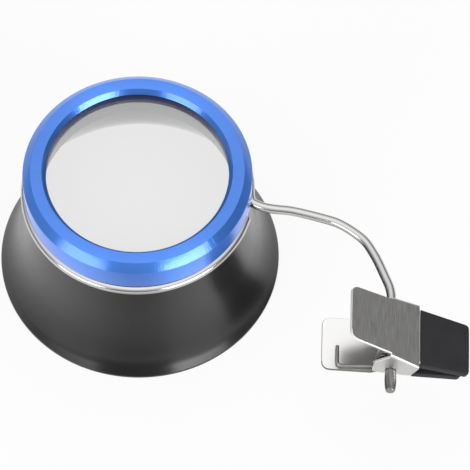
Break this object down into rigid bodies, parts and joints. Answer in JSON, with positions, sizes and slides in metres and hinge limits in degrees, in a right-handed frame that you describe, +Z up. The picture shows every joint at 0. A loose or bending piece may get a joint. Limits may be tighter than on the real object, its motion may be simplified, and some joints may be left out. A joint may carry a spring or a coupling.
{
  "type": "clip-on loupe",
  "caption": "Eye loupe: a flared eye cone and screwed ring hold a glass lens, and a sprung wire loop and arm carry a small sprung two-jaw clip with rubber sleeves.",
  "frame": {"origin": "on the surface that the eye cone stands on, under the middle of the whole part", "axes": "+Z up along the optical axis, from the eye to the object side; +X from the eye cone towards the clip's jaws; -Y towards the crimped end of the hinge pin"},
  "size_m": [0.0646, 0.0504, 0.0251],
  "materials": {
    "black_anodised": "satin black anodised, fine turning lines",
    "lens_glass": "polished clear glass",
    "blue_anodised": "bright blue anodised, turned",
    "wire_steel": "bright drawn stainless wire",
    "brushed_sheet": "brushed, bright cut edges",
    "polished_sheet": "polished sheet steel",
    "spring_steel": "plain spring wire",
    "black_rubber": "matte moulded rubber"
  },
  "bodies": {
    "housing": {"eye_cone": "black_anodised"},
    "optic": {"lens": "lens_glass"},
    "ring": {"bezel_ring": "blue_anodised"},
    "wire": {"wire_arm": "wire_steel"},
    "clip_lower": {"lower_jaw": "polished_sheet", "lower_jaw_sleeve": "black_rubber", "torsion_spring": "spring_steel"},
    "clip_upper": {"upper_jaw": "brushed_sheet", "upper_jaw_sleeve": "black_rubber"}
  },
  "joints": [
    {"name": "lens_lift", "type": "slide", "parent": "housing", "child": "optic", "axis": [0, 0, 1], "range_m": [0, 0.0012]},
    {"name": "ring_turn", "type": "hinge", "parent": "optic", "child": "ring", "pos_m": [-0.01284, 0.00575, 0.021], "axis": [0, 0, 1], "range_deg": [0, 720]},
    {"name": "arm_turn", "type": "hinge", "parent": "housing", "child": "wire", "pos_m": [-0.01284, 0.00575, 0.0176], "axis": [0, 0, 1], "continuous": true},
    {"name": "clip_swivel", "type": "hinge", "parent": "wire", "child": "clip_lower", "pos_m": [0.02151, -0.01728, 0.0172], "axis": [0.0262, 0.9997, 0], "continuous": true},
    {"name": "jaw_open", "type": "hinge", "parent": "clip_lower", "child": "clip_upper", "pos_m": [0.02151, -0.01728, 0.0172], "axis": [-0.0262, -0.9997, 0], "range_deg": [0, 25], "stiffness_Nm_per_rad": 0.012, "springref_deg": -1.15, "deforming": ["torsion_spring"]}
  ],
  "couplings": [
    {"joint": "lens_lift", "follows": "ring_turn", "m_per_rad": 0.00009549}
  ]
}
